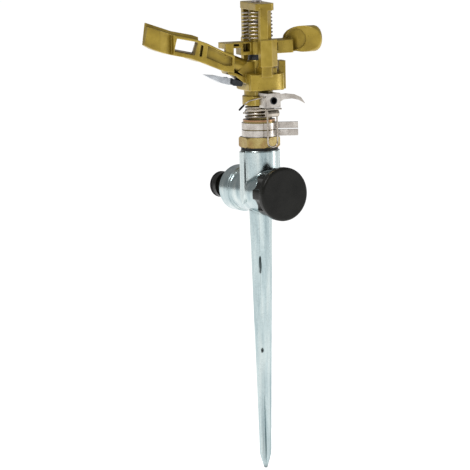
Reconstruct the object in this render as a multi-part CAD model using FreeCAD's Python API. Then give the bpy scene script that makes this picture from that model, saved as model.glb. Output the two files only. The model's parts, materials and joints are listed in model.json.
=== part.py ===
"""Impact sprinkler on a flow-through ground spike, one STEP file for each separate piece.

Units are millimetres and +Z is up. The origin is on the sprinkler's turning axis at ground
level, the underside of the valve body. The hose comes in along +Y and the end cap faces -Y.
The sprinkler head is drawn with its jet along -X and then turned by HEAD_YAW.
"""
import FreeCAD, Part
import math
import os
from FreeCAD import Vector

# ground spike
SPIKE_LENGTH = 170.0
SPIKE_TOP_REACH = 8.0
SPIKE_TOP_FLANGE = 1.7
SPIKE_TOP_GROOVE = 4.3
SPIKE_END_REACH = 3.9
SPIKE_END_FLANGE = 1.1
SPIKE_END_GROOVE = 1.25
SPIKE_POINT_LENGTH = 9.0
SPIKE_POINT_SCALE = 0.30

# flow-through valve body
PIPE_Z = 14.2
PIPE_RADIUS = 14.0
PIPE_BORE_RADIUS = 9.5
PIPE_LIP_RADIUS = 14.7
PIPE_LIP_LENGTH = 1.6
PIPE_FRONT_Y = -15.0
PIPE_BACK_Y = 17.0
CAP_NECK_RADIUS = 12.6
CAP_NECK_END_Y = -26.0
INLET_NECK_RADIUS = 12.4
INLET_NECK_END_Y = 24.5
RISER_RADIUS = 12.6
RISER_TOP_Z = 41.5
RISER_RIB_REACH = 14.2
RISER_CHAMFER = 0.6
RISER_RIB_HALF_WIDTH = 2.7
RISER_RIB_TAPER_Z = 12.0
RISER_RIB_TIP_Z = 6.5
RISER_RIB_TIP_HALF_WIDTH = 0.6
RISER_THREAD_RADIUS = 9.4
RISER_THREAD_DEPTH = 15.0
RISER_BORE_RADIUS = 8.95

# end cap
CAP_RADIUS = 17.6
CAP_GRIP_RADIUS = 16.2
CAP_FRONT_Y = -30.0
CAP_DISC_BACK_Y = -25.5
CAP_BACK_Y = -15.4
CAP_FLUTES = 7
CAP_FLUTE_RADIUS = 6.0
CAP_FLUTE_DEPTH = 2.3
CAP_EDGE = 1.6
CAP_WASHER_THICKNESS = 1.4

# hose inlet
NUT_RADIUS = 15.1
NUT_BACK_Y = 27.5
NIPPLE_RADIUS = 8.65
NIPPLE_ROOT_RADIUS = 8.3
NIPPLE_ROOT_END_Y = 28.5
NIPPLE_BORE_RADIUS = 4.6
NIPPLE_FLANGE_RADIUS = 11.8
NIPPLE_FLANGE_THICKNESS = 1.6
NIPPLE_END_Y = 50.0
NIPPLE_CHAMFER = 1.2
NIPPLE_GROOVE_Y = 37.5
NIPPLE_GROOVE_RADIUS = 6.5
NIPPLE_GROOVE_WIDTH = 4.6
NIPPLE_RING_WIDTH = 2.6
NIPPLE_RING_RADIUS = 7.0
NIPPLE_RING_MARGIN = 1.9

# bearing nipple and what turns on it
SEAL_TOP_Z = 43.2
HEX_ACROSS_FLATS = 24.0
HEX_TOP_Z = 50.0
HEX_YAW = 23.0
HEX_EDGE = 0.9
NIPPLE_BOTTOM_Z = 30.0
BARREL_RADIUS = 10.6
BARREL_TOP_Z = 60.0
SLEEVE_RADIUS = 7.4
SLEEVE_BORE_RADIUS = 5.6
SLEEVE_BOTTOM_Z = 26.4
SLEEVE_FLANGE_RADIUS = 8.8
SLEEVE_FLANGE_THICKNESS = 1.3
SLEEVE_TOP_Z = 80.0
RUNNING_CLEARANCE = 0.05
FACE_GAP = 0.15

# stop collars
COLLAR_RADIUS = 11.5
COLLAR_HEIGHT = 4.1
LOWER_COLLAR_Z = 50.3
UPPER_COLLAR_Z = 55.1
COLLAR_SPLIT_HALF_ANGLE = 6.0
COLLAR_TAB_END = 25.5
COLLAR_TAB_THICKNESS = 0.75
LOWER_TAB_ANGLE = -36.0
UPPER_TAB_ANGLE = -33.0

# sprinkler head casting
HEAD_YAW = -10.0
BODY_LEFT_X = -10.8
BODY_RIGHT_X = 14.0
BODY_HALF_DEPTH = 12.0
BODY_BOTTOM_Z = 80.6
BODY_TOP_Z = 91.9
BODY_CORNER_RADIUS = 2.0
NECK_RADIUS = 9.5
NECK_BOTTOM_Z = 77.0
SOCKET_RADIUS = 10.7
SOCKET_BOTTOM_Z = 71.0
WATERWAY_RADIUS = 5.4
JET_ANGLE = 23.0
JET_ORIGIN_Z = 91.2
TUBE_RADIUS = 5.3
TUBE_BORE_RADIUS = 3.9
TUBE_END_X = -25.0
GUSSET_HALF_WIDTH = 6.0
GUSSET_OUTLINE = [(-24.6, 95.6), (-22.9, 92.0), (-17.8, 90.6), (-13.0, 86.4), (-9.0, 85.2),
                  (-9.0, 89.2), (-12.4, 90.2)]
BOSS_RADIUS = 6.8
BOSS_TOP_Z = 100.5
LEG_INNER_Y = 12.6
LEG_BASE_THICKNESS = 4.6
LEG_BASE_LEFT_X = -4.8
LEG_BASE_FACE_X = 3.0
LEG_FRONT_RIGHT_X = 9.0
LEG_BACK_RIGHT_X = 6.9
LEG_BASE_BOTTOM_Z = 96.6
LEG_BASE_TOP_Z = 114.2
LEG_TOP_THICKNESS = 3.8
LEG_TOP_LEFT_X = -4.6
LEG_TOP_FACE_X = 0.6
LEG_TOP_RIGHT_X = 4.9
LEG_ROOT_INSET = 0.9
SHOULDER_RADIUS = 22.0
SHOULDER_FRONT_Y = 15.2
BRIDGE_BOTTOM_Z = 133.2
BRIDGE_TOP_Z = 137.9
BRIDGE_HALF_WIDTH = 6.4
BRIDGE_BOSS_RADIUS = 5.5
BRIDGE_BOSS_BOTTOM_Z = 127.0
POST_TOP_Z = 99.2
POST_INNER_X = 13.0
POST_OUTER_X = 18.0

# nozzle
NOZZLE_TIP_RADIUS = 4.7
NOZZLE_ORIFICE_RADIUS = 2.0
NOZZLE_STUB_LENGTH = 6.0
NOZZLE_TIP_LENGTH = 3.6

# fulcrum pin
PIN_RADIUS = 2.5
PIN_HEAD_RADIUS = 3.4
PIN_HEAD_HEIGHT = 1.2
PIN_BOTTOM_Z = 97.2

# drive arm
ARM_BOTTOM_Z = 104.0
ARM_TOP_Z = 112.7
ARM_HALF_WIDTH = 4.5
ARM_HUB_RADIUS = 6.6
ARM_HUB_TOP_Z = 124.5
ARM_LEFT_X = -26.3
ARM_RIGHT_X = 24.0
ARM_ARCH_X = -13.5
ARM_ARCH_Z = 108.8
BUSHING_RADIUS = 4.0
BAND_FRONT_Y = -11.0
BAND_WALL_Y = -8.4
BAND_WALL_THICKNESS = 2.0
BAND_STEP_Y = -4.0
BAND_STEP_RISE = 2.4
SPOON_BACK_Y = 5.5
WINDOW_RIM = 5.0
WINDOW_PASSAGE = (7.2, 18.0, 0.0)
WEIGHT_RADIUS = 8.6
WEIGHT_Y = -4.6
WEIGHT_Z = 112.7
WEIGHT_LEFT_X = 19.2
WEIGHT_CUT_X = 40.3
WEIGHT_END_X = 41.7
WEIGHT_EDGE = 4.0
WEIGHT_RECESS = 1.2
RECESS_RADIUS = 6.6
RECESS_MARGIN = 2.8
WEIGHT_BAR_TOP_Z = 113.2

# drive spring
SPRING_RADIUS = 9.8
SPRING_WIRE_RADIUS = 0.5
SPRING_BOTTOM_Z = 113.6
SPRING_TOP_Z = 132.5
SPRING_TURNS = 8

# deflector
HINGE_X = -19.5
HINGE_Z = 87.3
HINGE_RADIUS = 0.9
HINGE_HEAD_RADIUS = 1.4
BRACKET_REACH = 5.9
STRAP = 0.6

# trip mechanism, measured from the turning axis along its own radial line
TRIP_YAW = -90.0
TRIP_PIVOT_Z = 74.5
BRACKET_HALF_WIDTH = 5.3
BRACKET_BOTTOM_Z = 69.8
BRACKET_TOP_Z = 79.3
BRACKET_FRONT = 18.4
BRACKET_BACK = 11.6
LEVER_GAP_START = 12.3
LEVER_GAP_END = 14.7
LEVER_REACH = 12.9
LOOP_HUB_REACH = 14.9
TRIP_HUB_RADIUS = 3.6
TRIP_PLATE = 1.2
SHEET = 0.8
PIVOT_RADIUS = 2.4
PIVOT_BORE_RADIUS = 2.0
WIRE_RADIUS = 0.55
SNAP_WIRE_RADIUS = 0.5
TRIP_WIRE_REACH = 16.2
TRIP_WIRE_HALF_WIDTH = 3.7
TRIP_WIRE_BOTTOM_Z = 44.2

Z_AXIS = Vector(0, 0, 1)
Y_AXIS = Vector(0, 1, 0)


def cylinder(radius, start, end):
    """A solid cylinder from one point to another."""
    along = end - start
    return Part.makeCylinder(radius, along.Length, start, along)


def upright(radius, low, high):
    """A cylinder about the turning axis."""
    return cylinder(radius, Vector(0, 0, low), Vector(0, 0, high))


def along_pipe(radius, start_y, end_y):
    """A cylinder about the horizontal pipe's axis."""
    return cylinder(radius, Vector(0, start_y, PIPE_Z), Vector(0, end_y, PIPE_Z))


def washer(outer, inner, low, high):
    """A flat ring about the turning axis."""
    return upright(outer, low, high).cut(upright(inner, low - 1, high + 1))


def box(low, high):
    """A box between two corners."""
    size = Vector(*high) - Vector(*low)
    return Part.makeBox(size.x, size.y, size.z, Vector(*low))


def prism(points, direction):
    """A closed outline of 3-D points, pulled along a direction."""
    outline = Part.makePolygon([Vector(*point) for point in points + points[:1]])
    return Part.Face(outline).extrude(Vector(*direction))


def side_prism(outline, start_y, end_y):
    """An outline of (x, z) points, pulled along Y."""
    return prism([(x, start_y, z) for x, z in outline], (0, end_y - start_y, 0))


def joined(shapes):
    """One clean solid from overlapping shapes."""
    whole = shapes[0].multiFuse(shapes[1:])
    return whole.removeSplitter()


def turned(shape, degrees, axis=Z_AXIS, centre=Vector(0, 0, 0)):
    """A copy turned about an axis."""
    copy = shape.copy()
    copy.rotate(centre, axis, degrees)
    return copy


def rounded(shape, radius, chosen):
    """Fillets on the edges that the test picks out."""
    edges = [edge for edge in shape.Edges if chosen(edge)]
    return shape.makeFillet(radius, edges)


def is_upright(edge):
    """True for a straight vertical edge."""
    ends = [vertex.Point for vertex in edge.Vertexes]
    return len(ends) == 2 and abs(ends[0].x - ends[1].x) + abs(ends[0].y - ends[1].y) < 1e-4


def wire_sweep(points, bend, radius):
    """Round wire that follows straight runs, with each corner bent to a radius."""
    edges = []
    last = points[0]
    for before, corner, after in zip(points, points[1:], points[2:]):
        back = (before - corner).normalize()
        ahead = (after - corner).normalize()
        half = math.acos(max(-1.0, min(1.0, back.dot(ahead)))) / 2
        trim = bend / math.tan(half)
        start = corner + back * trim
        end = corner + ahead * trim
        middle = corner + (back + ahead).normalize() * (bend / math.sin(half) - bend)
        edges.append(Part.LineSegment(last, start).toShape())
        edges.append(Part.Arc(start, middle, end).toShape())
        last = end
    edges.append(Part.LineSegment(last, points[-1]).toShape())
    path = Part.Wire(edges)
    section = Part.Wire(Part.makeCircle(radius, points[0], points[1] - points[0]))
    return path.makePipeShell([section], True, False)


def coil(radius, wire, low, high, turns):
    """A round-wire coil about the turning axis, between two wire-centre heights."""
    helix = Part.makeLongHelix((high - low) / turns, high - low, radius)
    helix.translate(Vector(0, 0, low))
    section = Part.Wire(Part.makeCircle(wire, Vector(radius, 0, low), Y_AXIS))
    return Part.Wire(helix).makePipeShell([section], True, True)


# ---------------------------------------------------------------- stake


def cross_section(z, reach, flange, groove):
    """The spike's four-finned outline at a height: flange ends and the grooves between."""
    points = []
    for quarter in range(4):
        angle = math.radians(90 * quarter)
        out = Vector(math.cos(angle), math.sin(angle), 0)
        side = Vector(-math.sin(angle), math.cos(angle), 0)
        points.append(out * reach - side * flange)
        points.append(out * reach + side * flange)
        points.append((out + side) * groove)
    points = [point + Vector(0, 0, z) for point in points]
    return Part.makePolygon(points + points[:1])


def spike():
    """The tapering four-finned spike with a short point."""
    point_top = SPIKE_POINT_LENGTH - SPIKE_LENGTH
    blade = [cross_section(2.0, SPIKE_TOP_REACH, SPIKE_TOP_FLANGE, SPIKE_TOP_GROOVE),
             cross_section(point_top, SPIKE_END_REACH, SPIKE_END_FLANGE, SPIKE_END_GROOVE)]
    tip = [blade[1],
           cross_section(-SPIKE_LENGTH, SPIKE_END_REACH * SPIKE_POINT_SCALE,
                         SPIKE_END_FLANGE * SPIKE_POINT_SCALE,
                         SPIKE_END_GROOVE * SPIKE_POINT_SCALE)]
    return [Part.makeLoft(blade, True, True), Part.makeLoft(tip, True, True)]


def spike_body():
    """Spike, horizontal pipe and riser, cast as one piece."""
    pipe = along_pipe(PIPE_RADIUS, PIPE_FRONT_Y, PIPE_BACK_Y)
    cap_neck = along_pipe(CAP_NECK_RADIUS, CAP_NECK_END_Y, PIPE_FRONT_Y)
    inlet_neck = along_pipe(INLET_NECK_RADIUS, PIPE_BACK_Y, INLET_NECK_END_Y)
    lip = along_pipe(PIPE_LIP_RADIUS, PIPE_BACK_Y - PIPE_LIP_LENGTH, PIPE_BACK_Y)
    riser = upright(RISER_RADIUS, PIPE_Z, RISER_TOP_Z)
    riser = riser.makeChamfer(RISER_CHAMFER, [riser.Edges[0]])
    half = RISER_RIB_HALF_WIDTH
    top = RISER_TOP_Z - RISER_CHAMFER
    tip = RISER_RIB_TIP_HALF_WIDTH
    rib_outline = [(-half, top), (half, top), (half, RISER_RIB_TAPER_Z), (tip, RISER_RIB_TIP_Z),
                   (-tip, RISER_RIB_TIP_Z), (-half, RISER_RIB_TAPER_Z)]
    rib = prism([(-RISER_RIB_REACH, y, z) for y, z in rib_outline], (2 * RISER_RIB_REACH, 0, 0))
    body = joined([pipe, cap_neck, inlet_neck, lip, riser, rib] + spike())
    bore = along_pipe(PIPE_BORE_RADIUS, CAP_NECK_END_Y - 1, INLET_NECK_END_Y + 1)
    thread = upright(RISER_THREAD_RADIUS, RISER_TOP_Z - RISER_THREAD_DEPTH, RISER_TOP_Z + 1)
    passage = upright(RISER_BORE_RADIUS, PIPE_Z, RISER_TOP_Z)
    return body.cut(bore).cut(thread).cut(passage)


def end_cap():
    """Screw cap with a plain round front disc and a fluted grip behind it."""
    grip = along_pipe(CAP_GRIP_RADIUS, CAP_BACK_Y, CAP_DISC_BACK_Y)
    flute_centre = CAP_GRIP_RADIUS + CAP_FLUTE_RADIUS - CAP_FLUTE_DEPTH
    for index in range(CAP_FLUTES):
        angle = math.tau * index / CAP_FLUTES
        x = flute_centre * math.cos(angle)
        z = PIPE_Z + flute_centre * math.sin(angle)
        grip = grip.cut(cylinder(CAP_FLUTE_RADIUS, Vector(x, CAP_DISC_BACK_Y - 1, z),
                                 Vector(x, CAP_BACK_Y + 1, z)))
    disc = along_pipe(CAP_RADIUS, CAP_DISC_BACK_Y, CAP_FRONT_Y)
    disc = rounded(disc, CAP_EDGE, lambda edge: abs(edge.BoundBox.YMin - CAP_FRONT_Y) < 1e-3
                   and edge.BoundBox.YLength < 1e-3)
    cap = joined([grip, disc])
    hollow = along_pipe(CAP_NECK_RADIUS, CAP_BACK_Y + 1, CAP_NECK_END_Y - CAP_WASHER_THICKNESS)
    return cap.cut(hollow)


def cap_washer():
    """Flat rubber washer between the cap and the pipe's end."""
    end = CAP_NECK_END_Y - CAP_WASHER_THICKNESS
    return along_pipe(CAP_NECK_RADIUS - 0.2, CAP_NECK_END_Y, end).cut(
        along_pipe(PIPE_BORE_RADIUS - 1.0, CAP_NECK_END_Y + 1, end - 1))


def inlet_nut():
    """Ring nut that clamps the hose nipple's flange onto the pipe."""
    nut = along_pipe(NUT_RADIUS, PIPE_BACK_Y, NUT_BACK_Y)
    nut = nut.makeChamfer(0.7, [edge for edge in nut.Edges if edge.BoundBox.YLength < 1e-3])
    thread = along_pipe(INLET_NECK_RADIUS, PIPE_BACK_Y - 1, NUT_BACK_Y - 1.4)
    mouth = along_pipe(NIPPLE_RADIUS + 0.3, PIPE_BACK_Y, NUT_BACK_Y + 1)
    return nut.cut(thread).cut(mouth)


def nipple_washer():
    """Flat rubber washer between the pipe's end and the nipple's flange."""
    low = INLET_NECK_END_Y - 1.1
    return along_pipe(PIPE_BORE_RADIUS - 0.1, low, INLET_NECK_END_Y).cut(
        along_pipe(NIPPLE_BORE_RADIUS + 1.0, low - 1, INLET_NECK_END_Y + 1))


def hose_nipple():
    """Push-on hose nipple with a flange, a latch groove and a seal-ring groove."""
    flange_end = INLET_NECK_END_Y + NIPPLE_FLANGE_THICKNESS
    flange = along_pipe(NIPPLE_FLANGE_RADIUS, INLET_NECK_END_Y, flange_end)
    root = along_pipe(NIPPLE_ROOT_RADIUS, flange_end, NIPPLE_ROOT_END_Y)
    stem = along_pipe(NIPPLE_RADIUS, NIPPLE_ROOT_END_Y, NIPPLE_END_Y)
    stem = stem.makeChamfer(NIPPLE_CHAMFER, [edge for edge in stem.Edges
                                  if abs(edge.BoundBox.YMin - NIPPLE_END_Y) < 1e-3])
    nipple = joined([flange, root, stem])
    groove_end = NIPPLE_GROOVE_Y + NIPPLE_GROOVE_WIDTH
    groove = along_pipe(NIPPLE_RADIUS + 1, NIPPLE_GROOVE_Y, groove_end).cut(
        along_pipe(NIPPLE_GROOVE_RADIUS, NIPPLE_GROOVE_Y - 1, groove_end + 1))
    ring_end = NIPPLE_END_Y - NIPPLE_RING_MARGIN
    ring_start = ring_end - NIPPLE_RING_WIDTH
    ring = along_pipe(NIPPLE_RADIUS + 1, ring_start, ring_end).cut(
        along_pipe(NIPPLE_RING_RADIUS, ring_start - 1, ring_end + 1))
    bore = along_pipe(NIPPLE_BORE_RADIUS, INLET_NECK_END_Y - 1, NIPPLE_END_Y + 1)
    return nipple.cut(groove).cut(ring).cut(bore)


def nipple_ring():
    """Rubber ring in the nipple's end groove."""
    centre = Vector(0, NIPPLE_END_Y - NIPPLE_RING_MARGIN - NIPPLE_RING_WIDTH / 2, PIPE_Z)
    thickness = (NIPPLE_RADIUS - NIPPLE_RING_RADIUS) / 2
    return Part.makeTorus(NIPPLE_RING_RADIUS + thickness, thickness, centre, Y_AXIS)


def inlet_strainer():
    """Cup-shaped filter that stands in the pipe behind the nipple's washer."""
    back = INLET_NECK_END_Y - 1.1
    cup = along_pipe(7.6, back - 12.0, back).cut(along_pipe(6.8, back - 11.0, back + 1))
    rim = along_pipe(PIPE_BORE_RADIUS - 0.1, back - 0.8, back).cut(
        along_pipe(6.8, back - 2, back + 1))
    strainer = joined([cup, rim])
    for step in range(3):
        y = back - 3.2 - 2.6 * step
        for turn in range(4):
            hole = cylinder(0.7, Vector(0, y, PIPE_Z - 9), Vector(0, y, PIPE_Z + 9))
            strainer = strainer.cut(turned(hole, 45 * turn, Y_AXIS, Vector(0, y, PIPE_Z)))
    return strainer


def riser_seal():
    """Flat seal between the riser and the hexagon."""
    return washer(RISER_RADIUS - 0.5, RISER_THREAD_RADIUS, RISER_TOP_Z, SEAL_TOP_Z)


def bearing_nipple():
    """Hexagon with a thread below and a smooth barrel above, bored for the turning sleeve."""
    corner = HEX_ACROSS_FLATS / math.sqrt(3)
    points = []
    for index in range(6):
        angle = math.radians(60 * index + HEX_YAW)
        points.append((corner * math.cos(angle), corner * math.sin(angle), SEAL_TOP_Z))
    hexagon = prism(points, (0, 0, HEX_TOP_Z - SEAL_TOP_Z))
    trim = upright(corner - 0.25, SEAL_TOP_Z, HEX_TOP_Z)
    trim = trim.makeChamfer(HEX_EDGE, [edge for edge in trim.Edges if edge.BoundBox.ZLength < 1e-3])
    stub = upright(RISER_THREAD_RADIUS, NIPPLE_BOTTOM_Z, SEAL_TOP_Z)
    barrel = upright(BARREL_RADIUS, HEX_TOP_Z, BARREL_TOP_Z)
    nipple = joined([hexagon.common(trim), stub, barrel])
    bore = upright(SLEEVE_RADIUS + RUNNING_CLEARANCE, NIPPLE_BOTTOM_Z - 1, BARREL_TOP_Z + 1)
    return nipple.cut(bore)


# ---------------------------------------------------------------- stop collars


def stop_collar(low, tab_angle):
    """Spring-strip ring whose two crossed ends stand out as a finger tab."""
    high = low + COLLAR_HEIGHT
    inner = BARREL_RADIUS + RUNNING_CLEARANCE
    ring = washer(COLLAR_RADIUS, inner, low, high)
    gap = COLLAR_RADIUS * math.tan(math.radians(COLLAR_SPLIT_HALF_ANGLE))
    ring = ring.cut(box((0, -gap, low - 1), (COLLAR_RADIUS + 1, gap, high + 1)))
    tabs = []
    for side in (-1, 1):
        start = side * gap
        end = side * (gap - COLLAR_TAB_THICKNESS)
        leaf = box((inner, min(start, end), low), (COLLAR_TAB_END, max(start, end), high))
        leaf = leaf.cut(upright(inner, low - 1, high + 1))
        foot = washer(COLLAR_RADIUS, inner, low, high).common(
            box((0, min(start, start + side * 1.5), low),
                (COLLAR_RADIUS + 1, max(start, start + side * 1.5), high)))
        tabs.extend([leaf, foot])
    rivet = box((COLLAR_TAB_END - 4.6, -gap, low + 1.2), (COLLAR_TAB_END - 2.8, gap, high - 1.2))
    return turned(joined([ring, rivet] + tabs), tab_angle)


# ---------------------------------------------------------------- head, drawn with its jet along -X


def jet_axis(x):
    """Point of the jet's axis above a given X."""
    return Vector(x, 0, JET_ORIGIN_Z - x * math.tan(math.radians(JET_ANGLE)))


def leg_plan(left, face_right, right, inner, outer, low, high):
    """A leg's upright block: flat outer face, with its right side slanting inwards."""
    outline = [(left, inner, low), (right, inner, low), (face_right, outer, low), (left, outer, low)]
    return prism(outline, (0, 0, high - low))


def bridge_leg(side):
    """One leg of the bridge: a narrow root, a wide foot and a slimmer upright."""
    inner = side * LEG_INNER_Y
    foot_out = LEG_INNER_Y + LEG_BASE_THICKNESS
    right = LEG_FRONT_RIGHT_X if side < 0 else LEG_BACK_RIGHT_X
    inset = LEG_ROOT_INSET
    foot = leg_plan(LEG_BASE_LEFT_X, LEG_BASE_FACE_X, right, inner, side * foot_out,
                    LEG_BASE_BOTTOM_Z, LEG_BASE_TOP_Z)
    slim = leg_plan(LEG_TOP_LEFT_X, LEG_TOP_FACE_X, LEG_TOP_RIGHT_X, inner,
                    side * (LEG_INNER_Y + LEG_TOP_THICKNESS), LEG_BASE_TOP_Z - 1, BRIDGE_BOTTOM_Z + 1)
    root = leg_plan(LEG_BASE_LEFT_X + inset, LEG_BASE_FACE_X, right - inset,
                    side * (LEG_INNER_Y - 3), side * (foot_out - inset),
                    BODY_TOP_Z - 2, LEG_BASE_BOTTOM_Z + 1)
    inner_root = box((LEG_BASE_LEFT_X + inset, min(side * 6.0, inner), BODY_TOP_Z - 2),
                     (right - inset, max(side * 6.0, inner), LEG_BASE_BOTTOM_Z - 1))
    centre = Vector(0.2, side * (SHOULDER_FRONT_Y - SHOULDER_RADIUS), BODY_BOTTOM_Z + 0.4)
    shoulder = Part.makeCylinder(SHOULDER_RADIUS, BODY_TOP_Z - BODY_BOTTOM_Z - 0.8, centre, Z_AXIS)
    near = side * (BODY_HALF_DEPTH - 1)
    far = side * (SHOULDER_FRONT_Y + 1)
    shoulder = shoulder.common(box((BODY_LEFT_X + 0.4, min(near, far), BODY_BOTTOM_Z),
                                   (BODY_RIGHT_X - 2.0, max(near, far), BODY_TOP_Z)))
    return [foot, slim, root, inner_root, shoulder]


def bridge_top():
    """Cross bar that joins the legs, with a boss that reaches down around the pin."""
    reach = LEG_INNER_Y + LEG_TOP_THICKNESS
    half = BRIDGE_HALF_WIDTH
    bar = box((-half, -reach, BRIDGE_BOTTOM_Z), (half, reach, BRIDGE_TOP_Z))
    bar = rounded(bar, 4.0, is_upright)
    return [bar, upright(BRIDGE_BOSS_RADIUS, BRIDGE_BOSS_BOTTOM_Z, BRIDGE_TOP_Z)]


def sprinkler_body():
    """The head casting: socket, square base, jet tube, bridge and side post."""
    half = BODY_HALF_DEPTH
    base = rounded(box((BODY_LEFT_X, -half, BODY_BOTTOM_Z), (BODY_RIGHT_X, half, BODY_TOP_Z)),
                   BODY_CORNER_RADIUS, is_upright)
    base = rounded(base, 0.8, lambda edge: edge.BoundBox.ZLength < 1e-4)
    socket = upright(SOCKET_RADIUS, SOCKET_BOTTOM_Z, NECK_BOTTOM_Z)
    neck = upright(NECK_RADIUS, NECK_BOTTOM_Z, BODY_BOTTOM_Z + 1)
    boss = upright(BOSS_RADIUS, BODY_TOP_Z - 2, BOSS_TOP_Z)
    tube = cylinder(TUBE_RADIUS, jet_axis(4.0), jet_axis(TUBE_END_X))
    cheek = side_prism([(-16.5, 93.6), (-9.0, 88.0), (0.0, 88.0), (0.0, 99.6), (-9.0, 99.6)],
                       -TUBE_RADIUS, TUBE_RADIUS)
    gusset = side_prism(GUSSET_OUTLINE, -GUSSET_HALF_WIDTH, GUSSET_HALF_WIDTH)
    post = rounded(box((POST_INNER_X - 3, -4.5, BODY_BOTTOM_Z), (POST_OUTER_X, 3.5, POST_TOP_Z)),
                   0.9, is_upright)
    slot = box((POST_INNER_X + 1.5, -2.6, BODY_TOP_Z + 1), (POST_OUTER_X + 1, 1.6, POST_TOP_Z - 1.8))
    back = box((POST_INNER_X - 4, -5, BODY_TOP_Z), (POST_INNER_X, 5, POST_TOP_Z + 1))
    post = post.cut(slot).cut(back)
    solids = [base, socket, neck, boss, tube, cheek, gusset, post]
    for side in (-1, 1):
        solids.extend(bridge_leg(side))
    solids.extend(bridge_top())
    body = joined(solids)
    waterway = upright(WATERWAY_RADIUS, SOCKET_BOTTOM_Z - 1, JET_ORIGIN_Z - 3)
    jet_bore = cylinder(TUBE_BORE_RADIUS, jet_axis(2.0), jet_axis(TUBE_END_X - 2))
    sleeve_thread = upright(SLEEVE_RADIUS, SOCKET_BOTTOM_Z - 1, SLEEVE_TOP_Z)
    pin_hole = upright(PIN_RADIUS, PIN_BOTTOM_Z, BRIDGE_TOP_Z + 1)
    return body.cut(waterway).cut(jet_bore).cut(sleeve_thread).cut(pin_hole)


def nozzle():
    """Screwed-in nozzle with a short round tip and a conical bore."""
    down_jet = (jet_axis(-1.0) - jet_axis(0.0)).normalize()
    seat = jet_axis(TUBE_END_X)
    stub = cylinder(TUBE_BORE_RADIUS, seat - down_jet * NOZZLE_STUB_LENGTH, seat)
    end = seat + down_jet * NOZZLE_TIP_LENGTH
    tip = cylinder(NOZZLE_TIP_RADIUS, seat, end)
    tip = tip.makeChamfer(0.8, [tip.Edges[2]])
    bore = Part.makeCone(TUBE_BORE_RADIUS - 0.6, NOZZLE_ORIFICE_RADIUS,
                         NOZZLE_STUB_LENGTH + NOZZLE_TIP_LENGTH,
                         seat - down_jet * NOZZLE_STUB_LENGTH, down_jet)
    return joined([stub, tip]).cut(bore)


def bearing_sleeve():
    """Flanged tube that hangs the head in the nipple and carries the water up."""
    tube = upright(SLEEVE_RADIUS, SLEEVE_BOTTOM_Z, SLEEVE_TOP_Z)
    flange = upright(SLEEVE_FLANGE_RADIUS, SLEEVE_BOTTOM_Z,
                     SLEEVE_BOTTOM_Z + SLEEVE_FLANGE_THICKNESS)
    bore = upright(SLEEVE_BORE_RADIUS, SLEEVE_BOTTOM_Z - 1, SLEEVE_TOP_Z + 1)
    return joined([tube, flange]).cut(bore)


def sleeve_washer():
    """Sealing washer on the sleeve's flange, just under the nipple."""
    low = SLEEVE_BOTTOM_Z + SLEEVE_FLANGE_THICKNESS
    return washer(SLEEVE_FLANGE_RADIUS - 0.2, SLEEVE_RADIUS, low, NIPPLE_BOTTOM_Z - FACE_GAP)


def thrust_washer():
    """Washer under the bearing spring, on top of the barrel."""
    low = BARREL_TOP_Z + FACE_GAP
    return washer(BARREL_RADIUS, SLEEVE_RADIUS, low, low + 1.2)


def bearing_spring():
    """Stiff spring that pulls the sleeve's washer up against the nipple."""
    wire = 0.7
    return coil(8.6, wire, BARREL_TOP_Z + FACE_GAP + 1.2 + wire, SOCKET_BOTTOM_Z - wire, 4)


def fulcrum_pin():
    """Pin that the drive arm swings on, headed over the bridge."""
    shaft = upright(PIN_RADIUS, PIN_BOTTOM_Z, BRIDGE_TOP_Z)
    head = upright(PIN_HEAD_RADIUS, BRIDGE_TOP_Z, BRIDGE_TOP_Z + PIN_HEAD_HEIGHT)
    head = head.makeFillet(0.5, [head.Edges[0]])
    return joined([shaft, head])


def arm_washer():
    """Dark washer between the boss and the arm."""
    return washer(BOSS_RADIUS - 0.4, PIN_RADIUS, BOSS_TOP_Z, ARM_BOTTOM_Z - 1.5)


def drive_spring():
    """Light torsion spring around the hub that brings the arm back."""
    return coil(SPRING_RADIUS, SPRING_WIRE_RADIUS, SPRING_BOTTOM_Z, SPRING_TOP_Z, SPRING_TURNS)


# ---------------------------------------------------------------- drive arm


def arm_beam():
    """Open-fronted beam with ribs, from the jet side to the counterweight side."""
    half = ARM_HALF_WIDTH
    low = ARM_BOTTOM_Z
    high = ARM_TOP_Z
    beam = box((ARM_LEFT_X, -half, low), (ARM_RIGHT_X, half, high))
    beam = rounded(beam, 1.5, is_upright)
    for left, right, floor in ((-24.4, -14.6, ARM_ARCH_Z + 1.4), (-11.9, -6.9, low + 2.2),
                               (6.9, 12.6, low + 2.2)):
        beam = beam.cut(box((left, -half - 1, floor), (right, half - 1.6, high - 1.2)))
    beam = beam.cut(box((ARM_LEFT_X - 1, -half - 1, low - 1), (ARM_ARCH_X, half + 1, ARM_ARCH_Z)))
    hub = upright(ARM_HUB_RADIUS, low, high)
    collar = upright(BRIDGE_BOSS_RADIUS, high - 1, ARM_HUB_TOP_Z)
    return [beam, hub, collar]


def band_outline(rise):
    """The jet-side band seen from the front: a spoon end, then a bend down to the tube."""
    bottom = [(-82.2, 114.2), (-77.0, 111.4), (-72.5, 109.7), (-63.6, 107.0), (-51.8, 104.4),
              (-43.3, 101.2), (-28.0, 94.8), (-21.2, 93.6)]
    top = [(-20.4, 104.8), (-26.7, 107.2), (-39.8, 113.8), (-47.3, 116.6), (-61.7, 119.8),
           (-70.1, 122.8), (-79.6, 126.2)]
    return bottom + [(x, z + rise) for x, z in top]


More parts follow.
